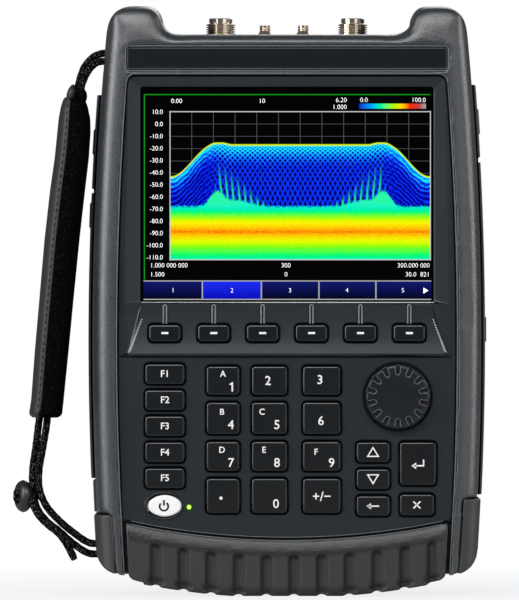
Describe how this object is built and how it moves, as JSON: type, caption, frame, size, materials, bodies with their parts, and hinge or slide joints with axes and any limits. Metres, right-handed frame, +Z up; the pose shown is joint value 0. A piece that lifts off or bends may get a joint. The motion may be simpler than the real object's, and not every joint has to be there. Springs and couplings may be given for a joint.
{
  "type": "handheld spectrum analyzer",
  "caption": "Upright handheld radio test instrument with a large display, keypad, tuning knob, top coaxial ports, side doors, ribbed rubber base and a hand strap.",
  "frame": {"origin": "middle of the flat foot under the bottom bumper, on the surface it stands on", "axes": "+Z up, +X to the right as seen from the front, the display faces -Y"},
  "size_m": [0.2366, 0.0765, 0.2881],
  "materials": {
    "case": "fine grained satin moulding, dark grey",
    "panel": "fine grained matt, blue black",
    "strip": "smooth dark label strip, bare",
    "rubber": "matt moulded rubber",
    "corner_rubber": "smooth matt rubber, a little warmer",
    "screen_glass": "black glass over a lit display",
    "silicone": "plain silicone",
    "board": "green circuit board",
    "shield": "bead blasted",
    "battery": "moulded pack",
    "steel": "plain steel",
    "knob_rubber": "satin rubberised plastic",
    "key_rubber": "matt key rubber, near black",
    "power_plastic": "white, slightly glossy",
    "lens": "lit yellow green",
    "port_metal": "nickel over brass, warm",
    "door_plastic": "satin moulding, dark",
    "cord": "braided cord, black with pale flecks",
    "grip": "vinyl outer side and fabric inner side, stitched",
    "ring_rubber": "smooth rubber"
  },
  "bodies": {
    "case": {"front_frame": "case", "rear_cover": "case", "display_bezel": "panel", "keypad_plate": "panel", "name_strip": "strip", "bottom_bumper": "rubber", "corner_bumpers": "corner_rubber", "display_window": "screen_glass", "display_module": "steel", "key_sheet": "silicone", "keypad_board": "board", "main_board": "board", "radio_module": "shield", "battery_pack": "battery", "encoder": "steel", "status_lens": "lens", "test_ports": "port_metal", "small_ports": "port_metal", "case_screws": "steel", "hinge_pins": "steel", "side_jacks": "steel", "strap_cord": "cord", "strap_grip": "grip", "strap_ring": "ring_rubber"},
    "knob": {"tuning_knob": "knob_rubber", "encoder_shaft": "steel"},
    "stand": {"tilt_stand": "door_plastic"},
    "right_port_door": {"right_port_door": "door_plastic"},
    "right_service_door": {"right_service_door": "door_plastic"},
    "left_port_door": {"left_port_door": "door_plastic"},
    "battery_door": {"battery_door": "door_plastic"},
    "soft_key_1": {"soft_key_1": "key_rubber"},
    "soft_key_2": {"soft_key_2": "key_rubber"},
    "soft_key_3": {"soft_key_3": "key_rubber"},
    "soft_key_4": {"soft_key_4": "key_rubber"},
    "soft_key_5": {"soft_key_5": "key_rubber"},
    "soft_key_6": {"soft_key_6": "key_rubber"},
    "function_key_1": {"function_key_1": "key_rubber"},
    "function_key_2": {"function_key_2": "key_rubber"},
    "function_key_3": {"function_key_3": "key_rubber"},
    "function_key_4": {"function_key_4": "key_rubber"},
    "function_key_5": {"function_key_5": "key_rubber"},
    "number_key_1": {"number_key_1": "key_rubber"},
    "number_key_2": {"number_key_2": "key_rubber"},
    "number_key_3": {"number_key_3": "key_rubber"},
    "number_key_4": {"number_key_4": "key_rubber"},
    "number_key_5": {"number_key_5": "key_rubber"},
    "number_key_6": {"number_key_6": "key_rubber"},
    "number_key_7": {"number_key_7": "key_rubber"},
    "number_key_8": {"number_key_8": "key_rubber"},
    "number_key_9": {"number_key_9": "key_rubber"},
    "number_key_point": {"number_key_point": "key_rubber"},
    "number_key_0": {"number_key_0": "key_rubber"},
    "number_key_sign": {"number_key_sign": "key_rubber"},
    "up_key": {"up_key": "key_rubber"},
    "down_key": {"down_key": "key_rubber"},
    "back_key": {"back_key": "key_rubber"},
    "enter_key": {"enter_key": "key_rubber"},
    "escape_key": {"escape_key": "key_rubber"},
    "power_key": {"power_key": "power_plastic"}
  },
  "joints": [
    {"name": "soft_key_1_press", "type": "slide", "parent": "case", "child": "soft_key_1", "axis": [0, 1, 0], "range_m": [0, 0.001], "stiffness_N_per_m": 900},
    {"name": "soft_key_2_press", "type": "slide", "parent": "case", "child": "soft_key_2", "axis": [0, 1, 0], "range_m": [0, 0.001], "stiffness_N_per_m": 900},
    {"name": "soft_key_3_press", "type": "slide", "parent": "case", "child": "soft_key_3", "axis": [0, 1, 0], "range_m": [0, 0.001], "stiffness_N_per_m": 900},
    {"name": "soft_key_4_press", "type": "slide", "parent": "case", "child": "soft_key_4", "axis": [0, 1, 0], "range_m": [0, 0.001], "stiffness_N_per_m": 900},
    {"name": "soft_key_5_press", "type": "slide", "parent": "case", "child": "soft_key_5", "axis": [0, 1, 0], "range_m": [0, 0.001], "stiffness_N_per_m": 900},
    {"name": "soft_key_6_press", "type": "slide", "parent": "case", "child": "soft_key_6", "axis": [0, 1, 0], "range_m": [0, 0.001], "stiffness_N_per_m": 900},
    {"name": "function_key_1_press", "type": "slide", "parent": "case", "child": "function_key_1", "axis": [0, 1, 0], "range_m": [0, 0.001], "stiffness_N_per_m": 900},
    {"name": "function_key_2_press", "type": "slide", "parent": "case", "child": "function_key_2", "axis": [0, 1, 0], "range_m": [0, 0.001], "stiffness_N_per_m": 900},
    {"name": "function_key_3_press", "type": "slide", "parent": "case", "child": "function_key_3", "axis": [0, 1, 0], "range_m": [0, 0.001], "stiffness_N_per_m": 900},
    {"name": "function_key_4_press", "type": "slide", "parent": "case", "child": "function_key_4", "axis": [0, 1, 0], "range_m": [0, 0.001], "stiffness_N_per_m": 900},
    {"name": "function_key_5_press", "type": "slide", "parent": "case", "child": "function_key_5", "axis": [0, 1, 0], "range_m": [0, 0.001], "stiffness_N_per_m": 900},
    {"name": "number_key_1_press", "type": "slide", "parent": "case", "child": "number_key_1", "axis": [0, 1, 0], "range_m": [0, 0.001], "stiffness_N_per_m": 900},
    {"name": "number_key_2_press", "type": "slide", "parent": "case", "child": "number_key_2", "axis": [0, 1, 0], "range_m": [0, 0.001], "stiffness_N_per_m": 900},
    {"name": "number_key_3_press", "type": "slide", "parent": "case", "child": "number_key_3", "axis": [0, 1, 0], "range_m": [0, 0.001], "stiffness_N_per_m": 900},
    {"name": "number_key_4_press", "type": "slide", "parent": "case", "child": "number_key_4", "axis": [0, 1, 0], "range_m": [0, 0.001], "stiffness_N_per_m": 900},
    {"name": "number_key_5_press", "type": "slide", "parent": "case", "child": "number_key_5", "axis": [0, 1, 0], "range_m": [0, 0.001], "stiffness_N_per_m": 900},
    {"name": "number_key_6_press", "type": "slide", "parent": "case", "child": "number_key_6", "axis": [0, 1, 0], "range_m": [0, 0.001], "stiffness_N_per_m": 900},
    {"name": "number_key_7_press", "type": "slide", "parent": "case", "child": "number_key_7", "axis": [0, 1, 0], "range_m": [0, 0.001], "stiffness_N_per_m": 900},
    {"name": "number_key_8_press", "type": "slide", "parent": "case", "child": "number_key_8", "axis": [0, 1, 0], "range_m": [0, 0.001], "stiffness_N_per_m": 900},
    {"name": "number_key_9_press", "type": "slide", "parent": "case", "child": "number_key_9", "axis": [0, 1, 0], "range_m": [0, 0.001], "stiffness_N_per_m": 900},
    {"name": "number_key_point_press", "type": "slide", "parent": "case", "child": "number_key_point", "axis": [0, 1, 0], "range_m": [0, 0.001], "stiffness_N_per_m": 900},
    {"name": "number_key_0_press", "type": "slide", "parent": "case", "child": "number_key_0", "axis": [0, 1, 0], "range_m": [0, 0.001], "stiffness_N_per_m": 900},
    {"name": "number_key_sign_press", "type": "slide", "parent": "case", "child": "number_key_sign", "axis": [0, 1, 0], "range_m": [0, 0.001], "stiffness_N_per_m": 900},
    {"name": "up_key_press", "type": "slide", "parent": "case", "child": "up_key", "axis": [0, 1, 0], "range_m": [0, 0.001], "stiffness_N_per_m": 900},
    {"name": "down_key_press", "type": "slide", "parent": "case", "child": "down_key", "axis": [0, 1, 0], "range_m": [0, 0.001], "stiffness_N_per_m": 900},
    {"name": "back_key_press", "type": "slide", "parent": "case", "child": "back_key", "axis": [0, 1, 0], "range_m": [0, 0.001], "stiffness_N_per_m": 900},
    {"name": "enter_key_press", "type": "slide", "parent": "case", "child": "enter_key", "axis": [0, 1, 0], "range_m": [0, 0.001], "stiffness_N_per_m": 900},
    {"name": "escape_key_press", "type": "slide", "parent": "case", "child": "escape_key", "axis": [0, 1, 0], "range_m": [0, 0.001], "stiffness_N_per_m": 900},
    {"name": "power_key_press", "type": "slide", "parent": "case", "child": "power_key", "axis": [0, 1, 0], "range_m": [0, 0.001], "stiffness_N_per_m": 900},
    {"name": "knob_turn", "type": "hinge", "parent": "case", "child": "knob", "pos_m": [0.054, -0.036, 0.0973], "axis": [0, 1, 0], "continuous": true},
    {"name": "right_port_door_hinge", "type": "hinge", "parent": "case", "child": "right_port_door", "pos_m": [0.08993, 0.024, 0.23215], "axis": [-0.0644, 0, 0.9979], "range_deg": [0, 90]},
    {"name": "right_service_door_hinge", "type": "hinge", "parent": "case", "child": "right_service_door", "pos_m": [0.09192, 0.024, 0.13049], "axis": [-0.0033, 0, 1], "range_deg": [0, 90]},
    {"name": "left_port_door_hinge", "type": "hinge", "parent": "case", "child": "left_port_door", "pos_m": [-0.09053, 0.024, 0.2219], "axis": [-0.0583, 0, -0.9983], "range_deg": [0, 90]},
    {"name": "battery_door_hinge", "type": "hinge", "parent": "case", "child": "battery_door", "pos_m": [-0.09237, 0.024, 0.127], "axis": [-0.0012, 0, -1], "range_deg": [0, 90]},
    {"name": "stand_hinge", "type": "hinge", "parent": "case", "child": "stand", "pos_m": [0, 0.0334, 0.15], "axis": [1, 0, 0], "range_deg": [0, 60]}
  ]
}
